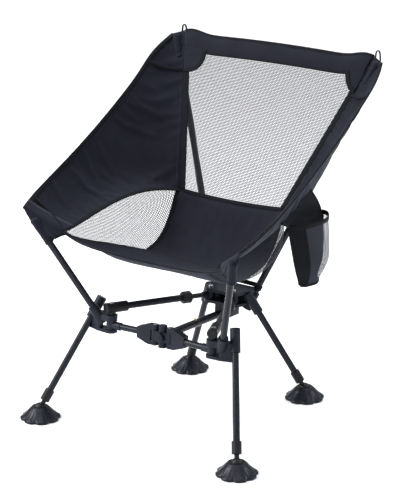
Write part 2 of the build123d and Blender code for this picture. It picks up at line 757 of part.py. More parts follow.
# ---------------------------------------------------------------- cup pocket
# A pouch with a flat back, hung by a flap from the outer edge beside the seat.
cup_back_x = 226.0
cup_top = 416.0
cup_waist = 332.0
cup_bottom = 296.0
cup_mouth_y = -5.0
cup_mouth_half_length = 56.0
cup_waist_y = 9.0
cup_waist_half_length = 44.0
cup_depth = 33.0
cup_foot_y = 5.0
cup_foot_half_length = 24.0
cup_foot_depth = 14.0
flap_front_v = 0.5
flap_back_v = 0.93
flap_drop = 3.0
flap_steps = 8


def cup_section(height, middle_y, half_length, depth, inset):
    """Half an ellipse with its straight side against the flat back."""
    base = Plane(origin=(cup_back_x + inset, middle_y, height + inset), x_dir=(1, 0, 0), z_dir=(0, 0, 1))
    with BuildSketch(base) as outline:
        Ellipse(depth - 2 * inset, half_length - inset)
        with Locations((-depth, 0)):
            Rectangle(2 * depth, 2 * half_length, mode=Mode.SUBTRACT)
    return outline.sketch


def cup_solid(inset):
    """The pouch's outside, or with an inset the room inside it."""
    foot = cup_section(cup_bottom, cup_foot_y, cup_foot_half_length, cup_foot_depth, inset)
    waist = cup_section(cup_waist, cup_waist_y, cup_waist_half_length, cup_depth, inset)
    mouth = cup_section(cup_top, cup_mouth_y, cup_mouth_half_length, cup_depth, inset)
    outlines = [foot.face().outer_wire(), waist.face().outer_wire(), mouth.face().outer_wire()]
    return Solid.make_loft(outlines, ruled=True)


def flap_top(share):
    """The flap's upper edge, just under the side panel above the pouch's flat back."""
    share_v = flap_front_v + (flap_back_v - flap_front_v) * share
    inner = side_low_at(0.0, share_v)
    outer = side_low_at(1.0, share_v)
    share_u = (cup_back_x - inner.X) / (outer.X - inner.X)
    below = side_low_at(share_u, share_v) - Vector(0, 0, flap_drop)
    return (below.Y, below.Z)


with BuildPart() as cup_pocket:
    add(cup_solid(0.0))
    with BuildSketch(Plane(origin=(cup_back_x, 0, 0), x_dir=(0, 1, 0), z_dir=(1, 0, 0))):
        with BuildLine():
            Polyline(
                (cup_mouth_y + cup_mouth_half_length, cup_top - fabric),
                (cup_mouth_y - cup_mouth_half_length, cup_top - fabric),
                *[flap_top(k / flap_steps) for k in range(flap_steps + 1)],
                close=True,
            )
        make_face()
    extrude(amount=fabric)
    add(cup_solid(fabric), mode=Mode.SUBTRACT)
save(cup_pocket.part, "cup_pocket")
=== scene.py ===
"""Looks of the folding camp chair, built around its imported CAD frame.

Metres, in the part's own frame: +Z up, the sitter faces -Y, and left is +X.
"""

import json
import math

import bpy
import numpy as np
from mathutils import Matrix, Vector, noise


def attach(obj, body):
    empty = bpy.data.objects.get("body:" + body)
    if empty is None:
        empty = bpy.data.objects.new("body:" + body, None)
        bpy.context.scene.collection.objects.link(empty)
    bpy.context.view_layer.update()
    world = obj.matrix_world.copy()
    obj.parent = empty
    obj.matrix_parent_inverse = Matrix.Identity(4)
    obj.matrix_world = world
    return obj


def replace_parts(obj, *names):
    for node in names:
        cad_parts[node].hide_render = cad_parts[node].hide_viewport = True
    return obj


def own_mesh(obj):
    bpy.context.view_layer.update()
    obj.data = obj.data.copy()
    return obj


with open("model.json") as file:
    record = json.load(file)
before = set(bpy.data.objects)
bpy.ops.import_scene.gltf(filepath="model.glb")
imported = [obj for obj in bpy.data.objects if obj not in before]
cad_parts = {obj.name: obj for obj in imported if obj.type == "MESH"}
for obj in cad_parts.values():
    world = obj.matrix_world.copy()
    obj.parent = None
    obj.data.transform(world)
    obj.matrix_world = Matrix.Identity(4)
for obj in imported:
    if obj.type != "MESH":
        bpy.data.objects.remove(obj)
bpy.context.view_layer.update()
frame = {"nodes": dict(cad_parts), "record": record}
SIDES = (("left", 1), ("right", -1))

# ---------------------------------------------------------------- sizes shared with the part
SEAT_TIP = Vector((0.217, -0.223, 0.392))
BACK_TIP = Vector((0.226, 0.237, 0.652))
SEAM_CORNER = Vector((0.118, 0.095, 0.389))
SEAT_CORNER = SEAT_TIP + Vector((-0.045, 0.027, -0.020))
TOP_CORNER = BACK_TIP + Vector((-0.014, 0.0115, 0.004))
EAR = SEAT_TIP + Vector((0.018, -0.009, 0.022))
EDGE_TOP = BACK_TIP + Vector((0.009, -0.001, 0.003))
EDGE_FLARE = 0.013
EDGE_SAG = 0.021
SEAT_DIP = 0.108
SEAT_DEEPEST = 0.6
SEAT_FLANK = 7.0
SEAT_SWELL = 0.5
SWELL_START = 4.0
SEAM_CURVE = 3.2
SEAM_RISE = 0.016
SEAM_SAG = 0.005
TOP_RISE = 0.006
BACK_HOLLOW = 0.002
FRONT_DIP = 0.015
FRONT_SET_BACK = 0.030
TOP_BAND = 0.036
FRONT_BAND = 0.024
EDGE_LOBE = 0.004
CORNER_LOBE = 0.010

# ---------------------------------------------------------------- sizes of the looks
CLOTH = 0.0009
BAND_CLOTH = 0.0016
CORNER_CLOTH = 0.0012
TAPE_WIDTH = 0.0085
TAPE_THICKNESS = 0.0026
EDGE_TAPE_THICKNESS = 0.0036
NET_PITCH = 0.0033
NET_STRAND = 0.00125
GUSSET_LINE = 0.120
CLOTH_FRAMES = 24


# ---------------------------------------------------------------- small helpers
def mix(low, high, share):
    return low + (high - low) * share


def near(value, centre, width):
    """1 at the centre, falling away smoothly over the width."""
    return math.exp(-(((value - centre) / width) ** 2))


def piece(name, points, faces, material, smooth=True):
    """A mesh object made from points and faces."""
    mesh = bpy.data.meshes.new(name)
    mesh.from_pydata([tuple(p) for p in points], [], faces)
    mesh.validate()
    mesh.polygons.foreach_set("use_smooth", [smooth] * len(mesh.polygons))
    mesh.materials.append(material)
    made = bpy.data.objects.new(name, mesh)
    bpy.context.scene.collection.objects.link(made)
    return made


def finish_piece(made, body):
    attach(made, body)
    return made


def grid_faces(across, along):
    """Quads of a grid with along + 1 points in each of its rows."""
    faces = []
    for i in range(across):
        for j in range(along):
            a = i * (along + 1) + j
            b = a + along + 1
            faces.append((a, b, b + 1, a + 1))
    return faces


def rounded_profile(width, thickness, count=12):
    """A flat rounded outline, as seen along a tape."""
    outline = []
    for k in range(count):
        angle = 2 * math.pi * k / count
        c, s = math.cos(angle), math.sin(angle)
        outline.append(
            (
                width / 2 * math.copysign(abs(c) ** 0.5, c),
                thickness / 2 * math.copysign(abs(s) ** 0.6, s),
            )
        )
    return outline


def sweep(name, path, inward, profile, material, steps=60, shift=0.0):
    """A strip that follows path(t), lying in the direction of inward(t)."""
    rows = []
    line = [path(k / steps) for k in range(steps + 1)]
    for k, here in enumerate(line):
        ahead, behind = line[min(k + 1, steps)], line[max(k - 1, 0)]
        along = (ahead - behind).normalized()
        side = inward(k / steps) - here
        side = (side - along * side.dot(along)).normalized()
        up = along.cross(side)
        centre = here + side * shift
        rows.append([centre + side * a + up * b for a, b in profile])
    points = [p for row in rows for p in row]
    size = len(profile)
    faces = []
    for k in range(steps):
        low, high = k * size, (k + 1) * size
        for i in range(size):
            j = (i + 1) % size
            faces.append((low + i, low + j, high + j, high + i))
    faces.append(tuple(range(size - 1, -1, -1)))
    faces.append(tuple(range(steps * size, (steps + 1) * size)))
    return piece(name, points, faces, material)


def revolve(name, outline, origin, axis, material, segments=64, radius_at=None):
    """A turned piece: outline is (radius, height) pairs along axis from origin."""
    axis = Vector(axis).normalized()
    first = axis.orthogonal().normalized() if abs(axis.z) < 0.999 else Vector((1, 0, 0))
    second = axis.cross(first)
    points = []
    for radius, height in outline:
        for k in range(segments):
            angle = 2 * math.pi * k / segments
            r = radius if radius_at is None else radius_at(radius, height, angle)
            points.append(
                origin
                + axis * height
                + first * (r * math.cos(angle))
                + second * (r * math.sin(angle))
            )
    faces = []
    for row in range(len(outline) - 1):
        for k in range(segments):
            a, b = row * segments + k, row * segments + (k + 1) % segments
            faces.append((a, b, b + segments, a + segments))
    faces.append(tuple(range(segments - 1, -1, -1)))
    last = (len(outline) - 1) * segments
    faces.append(tuple(range(last, last + segments)))
    return piece(name, points, faces, material)


def thicken(made, thickness=CLOTH):
    skin = made.modifiers.new("thickness", "SOLIDIFY")
    skin.thickness = thickness
    skin.offset = 0.0
    return made


# ---------------------------------------------------------------- materials
def shader(name, colour, roughness, metallic=0.0):
    """A new material, and the nodes that the finishes below add to."""
    material = bpy.data.materials.new(name)
    material.use_nodes = True
    tree = material.node_tree
    principled = tree.nodes["Principled BSDF"]
    principled.inputs["Base Color"].default_value = (*colour, 1)
    principled.inputs["Roughness"].default_value = roughness
    principled.inputs["Metallic"].default_value = metallic
    place = tree.nodes.new("ShaderNodeTexCoord").outputs["Object"]
    return material, tree, principled, place


def noise_node(tree, place, scale, detail=3.0, stretch=None):
    if stretch is not None:
        mapping = tree.nodes.new("ShaderNodeMapping")
        mapping.inputs["Scale"].default_value = stretch
        tree.links.new(place, mapping.inputs["Vector"])
        place = mapping.outputs["Vector"]
    texture = tree.nodes.new("ShaderNodeTexNoise")
    texture.inputs["Scale"].default_value = scale
    texture.inputs["Detail"].default_value = detail
    tree.links.new(place, texture.inputs["Vector"])
    return texture.outputs["Fac"]


def ramp(tree, value, low, high, start=0.3, end=0.7):
    """Turns a 0 to 1 value into a colour between low and high."""
    node = tree.nodes.new("ShaderNodeValToRGB")
    node.color_ramp.elements[0].position = start
    node.color_ramp.elements[1].position = end
    node.color_ramp.elements[0].color = (*low, 1)
    node.color_ramp.elements[1].color = (*high, 1)
    tree.links.new(value, node.inputs["Fac"])
    return node.outputs["Color"]


def rescale(tree, value, low, high):
    node = tree.nodes.new("ShaderNodeMapRange")
    node.inputs["To Min"].default_value = low
    node.inputs["To Max"].default_value = high
    tree.links.new(value, node.inputs["Value"])
    return node.outputs["Result"]


def bump(tree, principled, height, distance, strength=1.0):
    node = tree.nodes.new("ShaderNodeBump")
    node.inputs["Distance"].default_value = distance
    node.inputs["Strength"].default_value = strength
    tree.links.new(height, node.inputs["Height"])
    tree.links.new(node.outputs["Normal"], principled.inputs["Normal"])


def weave(tree, place, pitch):
    """Two crossed sets of threads."""
    heights = []
    for direction in ("X", "Z"):
        wave = tree.nodes.new("ShaderNodeTexWave")
        wave.bands_direction = direction
        wave.inputs["Scale"].default_value = 1 / (pitch * 20 / math.pi)
        wave.inputs["Distortion"].default_value = 0.8
        wave.inputs["Detail"].default_value = 1.0
        tree.links.new(place, wave.inputs["Vector"])
        heights.append(wave.outputs["Fac"])
    joined = tree.nodes.new("ShaderNodeMath")
    joined.operation = "MAXIMUM"
    tree.links.new(heights[0], joined.inputs[0])
    tree.links.new(heights[1], joined.inputs[1])
    return joined.outputs["Value"]


def cloth_finish(name, dark, light, pitch=0.0012, depth=0.0002, sheen=0.10, roughness=0.78):
    material, tree, principled, place = shader(name, dark, roughness)
    wear = noise_node(tree, place, 9.0, 5.0)
    tree.links.new(ramp(tree, wear, dark, light), principled.inputs["Base Color"])
    tree.links.new(
        rescale(tree, noise_node(tree, place, 60.0), roughness - 0.08, roughness + 0.08),
        principled.inputs["Roughness"],
    )
    principled.inputs["Sheen Weight"].default_value = sheen
    principled.inputs["Sheen Roughness"].default_value = 0.4
    principled.inputs["Sheen Tint"].default_value = (0.72, 0.78, 1.0, 1)
    principled.inputs["Specular IOR Level"].default_value = 0.12
    bump(tree, principled, weave(tree, place, pitch), depth, 0.6)
    return material


def moulded_finish(name, dark, light, roughness, grain=700.0, depth=0.00006, gloss=0.2):
    material, tree, principled, place = shader(name, dark, roughness)
    wear = noise_node(tree, place, 14.0, 4.0)
    tree.links.new(ramp(tree, wear, dark, light), principled.inputs["Base Color"])
    tree.links.new(
        rescale(tree, noise_node(tree, place, 35.0, 4.0), roughness - 0.07, roughness + 0.1),
        principled.inputs["Roughness"],
    )
    principled.inputs["Specular IOR Level"].default_value = gloss
    bump(tree, principled, noise_node(tree, place, grain, 2.0), depth)
    return material


def tube_finish():
    """Black anodised tube: a tight gloss with faint drawing lines along it."""
    material, tree, principled, place = shader("pole_tube", (0.012, 0.013, 0.018), 0.24)
    drawn = noise_node(tree, place, 60.0, 3.0, stretch=(6.0, 6.0, 0.6))
    tree.links.new(
        ramp(tree, drawn, (0.009, 0.010, 0.014), (0.018, 0.020, 0.028)),
        principled.inputs["Base Color"],
    )
    tree.links.new(rescale(tree, drawn, 0.19, 0.32), principled.inputs["Roughness"])
    principled.inputs["Specular IOR Level"].default_value = 0.13
    principled.inputs["Coat Weight"].default_value = 0.05
    principled.inputs["Coat Roughness"].default_value = 0.12
    bump(tree, principled, drawn, 0.00002)
    return material


def metal_finish(name, dark, light, roughness):
    material, tree, principled, place = shader(name, light, roughness, metallic=1.0)
    worn = noise_node(tree, place, 220.0, 4.0)
    tree.links.new(ramp(tree, worn, dark, light), principled.inputs["Base Color"])
    tree.links.new(
        rescale(tree, noise_node(tree, place, 500.0), roughness - 0.08, roughness + 0.1),
        principled.inputs["Roughness"],
    )
    bump(tree, principled, worn, 0.00003)
    return material


finish = {
    "pole_tube": tube_finish(),
    "hub_plastic": moulded_finish(
        "hub_plastic", (0.009, 0.011, 0.018), (0.017, 0.020, 0.031), 0.38, gloss=0.14
    ),
    "black_plastic": moulded_finish(
        "black_plastic", (0.007, 0.007, 0.009), (0.013, 0.013, 0.016), 0.38
    ),
    "foot_plastic": moulded_finish(
        "foot_plastic", (0.005, 0.006, 0.010), (0.012, 0.014, 0.021), 0.27, grain=420.0, gloss=0.2
    ),
    "pin_metal": metal_finish("pin_metal", (0.30, 0.30, 0.32), (0.55, 0.56, 0.60), 0.3),
    "button_brass": metal_finish(
        "button_brass", (0.42, 0.24, 0.12), (0.74, 0.48, 0.26), 0.28
    ),
    "elastic_cord": cloth_finish(
        "elastic_cord", (0.010, 0.010, 0.012), (0.018, 0.018, 0.021), pitch=0.0008
    ),
    "sling_fabric": cloth_finish(
        "sling_fabric", (0.0060, 0.0066, 0.0125), (0.0105, 0.0115, 0.0195), sheen=0.08
    ),
    "mesh_fabric": cloth_finish(
        "mesh_fabric", (0.008, 0.009, 0.013), (0.015, 0.016, 0.022), sheen=0.04
    ),
    "pocket_mesh": cloth_finish(
        "pocket_mesh", (0.030, 0.032, 0.043), (0.052, 0.056, 0.072), sheen=0.05
    ),
    # Real binding tape and loops; also put on the cup pocket's cloth below as painted shade.
    "webbing": cloth_finish(
        "webbing", (0.0030, 0.0034, 0.0055), (0.0055, 0.0060, 0.0090), pitch=0.0016,
        depth=0.0003, sheen=0.05,
    ),
}
thread_finish = cloth_finish(
    "thread", (0.020, 0.022, 0.032), (0.035, 0.038, 0.052), pitch=0.0006, sheen=0.4
)
for part in frame["record"]["subparts"]:
    cad = frame["nodes"][part["node"]]
    if not cad.material_slots:
        cad.data.materials.append(finish[part["material_slot"]])
    for holder in cad.material_slots:
        holder.material = finish[part["material_slot"]]


# ---------------------------------------------------------------- the sling's surface
def seat_at(u, v):
    """Seat: u runs -1 to 1 from right to left, v from the front edge to the back seam."""
    half = SEAM_CORNER.x + (SEAT_CORNER.x - SEAM_CORNER.x) * (1 - v**SEAM_CURVE)
    middle = mix(SEAT_CORNER, SEAM_CORNER, v)
    rise = SEAM_RISE * 6.75 * v * v * (1 - v)
    pull = FRONT_SET_BACK * (1 - u * u) * (1 - v)
    if v < SEAT_DEEPEST:
        depth = 1 - (1 - FRONT_DIP / SEAT_DIP) * (1 - v / SEAT_DEEPEST) ** 2
    else:
        depth = 1 - ((v - SEAT_DEEPEST) / (1 - SEAT_DEEPEST)) ** 3
    belly = (1 - min(abs(u), 1.0) ** SEAT_FLANK) * depth * SEAT_DIP
    belly += SEAM_SAG * (1 - u * u) * v
    swell = SEAT_SWELL * depth * abs(u) ** SWELL_START * (1 - min(abs(u), 1.0) ** SEAT_FLANK)
    return Vector((half * u * (1 + swell), middle.y + pull, middle.z + rise - belly))


def back_at(u, v):
    """Back: u runs -1 to 1 from right to left, v from the seam to the top edge."""
    middle = mix(SEAM_CORNER, TOP_CORNER, v)
    hollow = BACK_HOLLOW * 4 * v * (1 - v) * (1 - u * u)
    lift = TOP_RISE * v - SEAM_SAG * (1 - v)
    lobe = CORNER_LOBE * near(v, 1.0, 0.14) * near(abs(u), 0.93, 0.15)
    return Vector((middle.x * u, middle.y + hollow, middle.z + lift * (1 - u * u) + lobe))


def edge_at(side, s):
    """The free outer edge, from the front corner at s = 0 to the top corner at s = 1."""
    point = mix(EAR, EDGE_TOP, s)
    lobe = EDGE_LOBE * near(s, 0.9, 0.09)
    flare = EDGE_FLARE * (1 - abs(2 * s - 1) ** 6) + lobe
    return Vector(((point.x + flare) * side, point.y, point.z - 4 * EDGE_SAG * s * (1 - s) + lobe))


def seam_at(side, s):
    """The inner edge of a side panel: along the seat up to s = 0.5, then up the back."""
    if s < 0.5:
        return seat_at(side, 2 * s)
    return back_at(side, 2 * s - 1)


def side_at(side, u, s):
    """A side panel: u runs from the inner seam to the free edge."""
    inner, outer = seam_at(side, s), edge_at(side, s)
    point = mix(inner, outer, u)
    hollow = 4 * u * (1 - u) * math.sin(math.pi * s)
    return point + Vector((0.006 * side, -0.002, -0.010)) * hollow


def seat_u(x, v):
    """The seat's u where it is x from the middle."""
    half = seat_at(1, v).x
    u = x / half
    for _ in range(6):
        u += (x - seat_at(u, v).x) / half
    return u


back_length = math.hypot(TOP_CORNER.y - SEAM_CORNER.y, TOP_CORNER.z - SEAM_CORNER.z)
seat_length = SEAM_CORNER.y - SEAT_CORNER.y
band_v = 1 - TOP_BAND / back_length
sling_root = "root"
back_normal = Vector((0, TOP_CORNER.z - SEAM_CORNER.z, SEAM_CORNER.y - TOP_CORNER.y))
back_normal.normalize()


def fold_with_frame(made):
    """Gives the piece its own copy of its mesh."""
    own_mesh(made)


def panel(name, point_at, across, along, material):
    """A cloth panel with across by along cells."""
    points = [
        point_at(i / across, j / along) for i in range(across + 1) for j in range(along + 1)
    ]
    return piece(name, points, grid_faces(across, along), material)


def settle(made, across, along, slack, loose):
    """Lets a panel hang between its pinned edges, and keeps it near its shape."""
    held = made.vertex_groups.new(name="held")
    rim = [
        i * (along + 1) + j
        for i in range(across + 1)
        for j in range(along + 1)
        if i in (0, across) or j in (0, along)
    ]
    held.add(rim, 1.0, "REPLACE")
    before = np.array([v.co[:] for v in made.data.vertices])
    cloth = made.modifiers.new("hang", "CLOTH")
    cloth.settings.vertex_group_mass = "held"
    cloth.settings.quality = 6
    cloth.settings.mass = 0.12
    cloth.settings.tension_stiffness = 25
    cloth.settings.compression_stiffness = 25
    cloth.settings.shear_stiffness = 8
    cloth.settings.bending_stiffness = 0.35
    cloth.settings.shrink_min = slack
    cloth.settings.shrink_max = slack
    cloth.settings.effector_weights.gravity = 0.6
    cloth.collision_settings.use_collision = False
    cloth.point_cache.frame_start = 1
    cloth.point_cache.frame_end = CLOTH_FRAMES
    scene = bpy.context.scene
    for step in range(1, CLOTH_FRAMES + 1):
        scene.frame_set(step)
    settled = made.evaluated_get(bpy.context.evaluated_depsgraph_get())
    after = np.array([v.co[:] for v in settled.data.vertices])
    made.modifiers.remove(cloth)
    moved = after - before
    length = np.linalg.norm(moved, axis=1, keepdims=True)
    moved *= np.minimum(1.0, loose / np.maximum(length, 1e-9))
    made.data.vertices.foreach_set("co", (before + moved).astype(np.float32).ravel())
    made.data.update()
    scene.frame_set(1)


def net(name, place, inside, low, high, material, pitch=NET_PITCH, strand=NET_STRAND):
    """An open hexagonal net over the flat range low to high, put in place by place(x, y)."""
    radius, inner = pitch / math.sqrt(3), (pitch - strand) / math.sqrt(3)
    corners = [math.radians(30 + 60 * k) for k in range(6)]
    points, faces, known = [], [], {}
    rows = int((high[1] - low[1]) / (1.5 * radius)) + 1
    columns = int((high[0] - low[0]) / pitch) + 1
    for row in range(rows):
        for column in range(columns):
            x = low[0] + (column + 0.5 * (row % 2)) * pitch
            y = low[1] + row * 1.5 * radius
            if not inside(x, y):
                continue
            outer_ring, inner_ring = [], []
            for k, angle in enumerate(corners):
                ox, oy = x + radius * math.cos(angle), y + radius * math.sin(angle)
                key = (round(2 * (ox - low[0]) / pitch), round(2 * (oy - low[1]) / radius))
                if key not in known:
                    known[key] = len(points)
                    points.append(place(ox, oy))
                outer_ring.append(known[key])
                inner_ring.append(len(points))
                points.append(place(x + inner * math.cos(angle), y + inner * math.sin(angle)))
            for k in range(6):
                n = (k + 1) % 6
                faces.append((outer_ring[k], outer_ring[n], inner_ring[n], inner_ring[k]))
    return piece(name, points, faces, material)


def tape(name, path, inward, width=TAPE_WIDTH, thickness=TAPE_THICKNESS, shift=0.0, steps=60):
    """Binding tape along a seam or wrapped round an edge."""
    made = sweep(name, path, inward, rounded_profile(width, thickness), finish["webbing"],
                 steps=steps, shift=shift)
    finish_piece(made, sling_root)
    fold_with_frame(made)
    return made


# ---------------------------------------------------------------- back
def back_net_place(x, y):
    v = y / back_length
    u = x / mix(SEAM_CORNER.x, TOP_CORNER.x, v)
    ripple = 0.0007 * math.sin(x * 90) * math.sin(math.pi * min(max(v, 0), 1))
    return back_at(max(-1.02, min(1.02, u)), v) - back_normal * ripple


def back_net_inside(x, y):
    v = y / back_length
    return 0 <= v <= band_v + 0.004 and abs(x) < mix(SEAM_CORNER.x, TOP_CORNER.x, v)


back_net = net(
    "back_net", back_net_place, back_net_inside,
    (-TOP_CORNER.x, 0.0), (TOP_CORNER.x, back_length), finish["mesh_fabric"],
)
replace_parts(finish_piece(back_net, sling_root), "back_panel")
fold_with_frame(back_net)


def band_at(a, b):
    """The band along the top edge, with a soft crown across its height."""
    u, v = 2 * a - 1, mix(band_v, 1.0, b)
    crown = 0.0022 * math.sin(math.pi * b) + 0.0006 * noise.noise(Vector((u * 7, b * 2, 3.1)))
    return back_at(u, v) - back_normal * crown


GRID_TOP = (120, 10)
top_band = thicken(panel("top_band_cloth", band_at, *GRID_TOP, finish["sling_fabric"]), BAND_CLOTH)
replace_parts(finish_piece(top_band, sling_root), "top_band")
fold_with_frame(top_band)


def along_top(t):
    return back_at(2 * t - 1, 1.0)


def below_top(t):
    return back_at(2 * t - 1, 0.95)


def along_band(t):
    return back_at(2 * t - 1, band_v)


tape("top_edge_tape", along_top, below_top, width=0.010, thickness=0.0034, shift=0.003)
tape("band_seam_tape", along_band, below_top, width=0.005, thickness=0.0028)
tape(
    "seat_back_seam_tape",
    lambda t: back_at(2 * t - 1, 0.004),
    lambda t: back_at(2 * t - 1, 0.1),
    width=0.008,
)

# ---------------------------------------------------------------- seat
GRID_SEAT = (44, 56)


def seat_strip_at(a, b):
    """The solid middle strip of the seat, as wide as the back's foot."""
    return seat_at(seat_u(mix(-GUSSET_LINE, GUSSET_LINE, a), b), b)


seat_cloth = panel("seat_cloth", seat_strip_at, *GRID_SEAT, finish["sling_fabric"])
settle(seat_cloth, *GRID_SEAT, slack=-0.006, loose=0.006)
thicken(seat_cloth)
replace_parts(finish_piece(seat_cloth, sling_root), "seat_panel")
fold_with_frame(seat_cloth)

ARC_ROWS, ARC_STEPS = 60, 48


def flank_table():
    """Across the flank at each v: the u of each step, and its distance down from the seam."""
    table = []
    for row in range(ARC_ROWS + 1):
        v = row / ARC_ROWS
        start = min(seat_u(GUSSET_LINE - 0.002, v), 1.0)
        steps = [mix(1.0, start, k / ARC_STEPS) for k in range(ARC_STEPS + 1)]
        line = [seat_at(u, v) for u in steps]
        reach = np.cumsum([0.0] + [(q - p).length for p, q in zip(line, line[1:])])
        table.append((reach, steps))
    return table


flank = flank_table()
flank_reach = [reach[-1] for reach, steps in flank]
flank_deepest = max(flank_reach)


def flank_u(depth, v):
    """The seat's u at a distance down the flank from its seam."""
    spot = min(max(v, 0.0), 1.0) * ARC_ROWS
    row = min(int(spot), ARC_ROWS - 1)
    pair = [np.interp(depth, *flank[k]) for k in (row, row + 1)]
    return float(mix(pair[0], pair[1], spot - row))


for name, side in SIDES:
    def gusset_place(x, y, side=side):
        v = min(max(y / seat_length, 0), 1)
        return seat_at(side * flank_u(x, v), v)

    def gusset_inside(x, y):
        v = y / seat_length
        reach = np.interp(v * ARC_ROWS, range(ARC_ROWS + 1), flank_reach)
        return 0.005 <= v <= 0.985 and 0 <= x < reach

    gusset = net(
        f"seat_net_{name}", gusset_place, gusset_inside,
        (0.0, 0.0), (flank_deepest, seat_length), finish["mesh_fabric"],
        pitch=0.0030, strand=0.00120,
    )
    finish_piece(gusset, sling_root)
    fold_with_frame(gusset)
    tape(
        f"seat_gusset_tape_{name}",
        lambda t, side=side: seat_at(side * seat_u(GUSSET_LINE, t * 0.99), t * 0.99),
        lambda t, side=side: seat_at(side * seat_u(GUSSET_LINE, t * 0.99) * 0.9, t * 0.99),
        width=0.008, thickness=0.0022,
    )

# ---------------------------------------------------------------- side panels
GRID_SIDE = (36, 110)
FOLD_DEPTH = 0.0035
CREASE_DEPTH = 0.004
for name, side in SIDES:
    def side_cloth_at(a, b, side=side):
        point = side_at(side, a, b)
        falls = math.sin(math.pi * a) * math.sin(math.pi * b)
        fold = FOLD_DEPTH * math.sin(b * 21 + 2.5 * a + side) * falls
        fold += CREASE_DEPTH * noise.noise(Vector((a * 2.2, b * 7.0, 4.0 + side))) * falls
        return point + Vector((side * 0.5, 0.2, -0.8)).normalized() * fold

    cloth = panel(f"side_cloth_{name}", side_cloth_at, *GRID_SIDE, finish["sling_fabric"])
    settle(cloth, *GRID_SIDE, slack=-0.02, loose=0.012)
    thicken(cloth)
    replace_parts(finish_piece(cloth, sling_root), f"side_panel_{name}")
    fold_with_frame(cloth)
    tape(
        f"free_edge_tape_{name}",
        lambda t, side=side: edge_at(side, t),
        lambda t, side=side: side_at(side, 0.9, t),
        width=0.009, thickness=EDGE_TAPE_THICKNESS, shift=0.003, steps=90,
    )
    tape(
        f"seat_side_tape_{name}",
        lambda t, side=side: seat_at(side, t),
        lambda t, side=side: side_at(side, 0.1, t / 2),
        width=0.008,
    )
    tape(
        f"back_side_tape_{name}",
        lambda t, side=side: back_at(side, t),
        lambda t, side=side: back_at(side * 0.95, t),
        width=0.014, thickness=0.003, shift=0.004,
    )


# ---------------------------------------------------------------- front band
def front_band_at(a, b):
    """The band that hangs below the front edge of the seat."""
    u = mix(-1.0, 1.0, a)
    edge = seat_at(u, 0.0)
    height = FRONT_BAND * (0.22 + 0.78 * (1 - u * u))
    belly = 0.003 * math.sin(math.pi * b)
    return edge + Vector((0, 0.006 * b - belly, -height * b))


GRID_FRONT = (90, 10)
front_band = thicken(
    panel("front_band_cloth", front_band_at, *GRID_FRONT, finish["sling_fabric"]), BAND_CLOTH
)
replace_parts(finish_piece(front_band, sling_root), "front_band")
fold_with_frame(front_band)
tape(
    "front_edge_tape",
    lambda t: seat_at(2 * t - 1, 0.0),
    lambda t: seat_at(2 * t - 1, 0.06),
    width=0.009, thickness=EDGE_TAPE_THICKNESS, shift=0.001, steps=90,
)
tape(
    "front_band_hem",
    lambda t: front_band_at(t, 1.0),
    lambda t: front_band_at(t, 0.5),
    width=0.004, thickness=0.003, steps=90,
)


# ---------------------------------------------------------------- corners of the back
# For each side, where the patch ends down the back and in along the band, and how full its curve is.
PATCH = {1: (0.790, 0.84, 1.25), -1: (0.765, 0.77, 0.85)}
GRID_PATCH = (24, 10)
PATCH_HEIGHT = 0.0022
BAND_LAP = 0.012


def patch_point(side, a, b):
    """Corner patch: a runs along its curved inner edge, b from that edge to the corner."""
    foot_v, top_u, fullness = PATCH[side]
    angle = a * math.pi / 2
    u = mix(1.0, top_u, math.sin(angle) ** fullness)
    v = mix(band_v + BAND_LAP, foot_v, math.cos(angle) ** fullness)
    u, v = mix(u, 1.0, b), mix(v, band_v + BAND_LAP, b)
    return back_at(side * u, v) - back_normal * PATCH_HEIGHT


for name, side in SIDES:
    patch = thicken(
        panel(f"corner_patch_{name}", lambda a, b, side=side: patch_point(side, a, b),
              *GRID_PATCH, finish["sling_fabric"])
    )
    finish_piece(patch, sling_root)
    fold_with_frame(patch)
    tape(
        f"corner_patch_tape_{name}",
        lambda t, side=side: patch_point(side, t, 0.0),
        lambda t, side=side: patch_point(side, t, 0.2),
        width=0.010, thickness=0.003, steps=40,
    )
    tape(
        f"side_cross_tape_{name}",
        lambda t, side=side: side_at(side, t, mix(0.882, 0.855, t))
        + Vector((-side * 0.001, 0, 0.001)),
        lambda t, side=side: side_at(side, t, mix(0.86, 0.83, t)),
        width=0.007, thickness=0.0022, steps=30,
    )

# ---------------------------------------------------------------- front corners and sleeves
SEAT_FOOT = Vector((0.146, -0.141, 0.217))
BACK_FOOT = Vector((0.045, 0.111, 0.209))
CORNER_DROP = 0.044
CORNER_BULGE = 0.0115
CORNER_PLEAT = 0.0012
CORNER_LAP = 0.2
CORNER_SEAM = 0.075
GRID_CORNER = (40, 16)


def corner_at(side, a, b):
    """The corner that wraps the seat pole's tip: a runs outwards to the ear, b down the pole."""
    if b < CORNER_LAP:
        lapped = side_at(side, a, 0.05 * (1 - b / CORNER_LAP))
        return lapped + Vector((-0.0006 * side, -0.0006, 0.0010))
    b = (b - CORNER_LAP) / (1 - CORNER_LAP)
    down = (SEAT_FOOT - SEAT_TIP).normalized()
    top = mix(SEAT_CORNER, EAR, a)
    drop = CORNER_DROP * (0.16 + 0.84 * math.sin(math.pi * min(a, 0.985) ** 1.5) ** 0.8)
    fullness = math.sin(math.pi * a) * math.sin(math.pi / 2 * min(1.0, 1.6 * b))
    bulge = Vector((0.25, -0.85, -0.1)) * (CORNER_BULGE * fullness)
    pleat = CORNER_PLEAT * math.sin(30 * a + 5 * b) * b
    point = top + down * (drop * b) + bulge + Vector((0, -pleat, 0))
    return Vector((point.x * side, point.y, point.z))


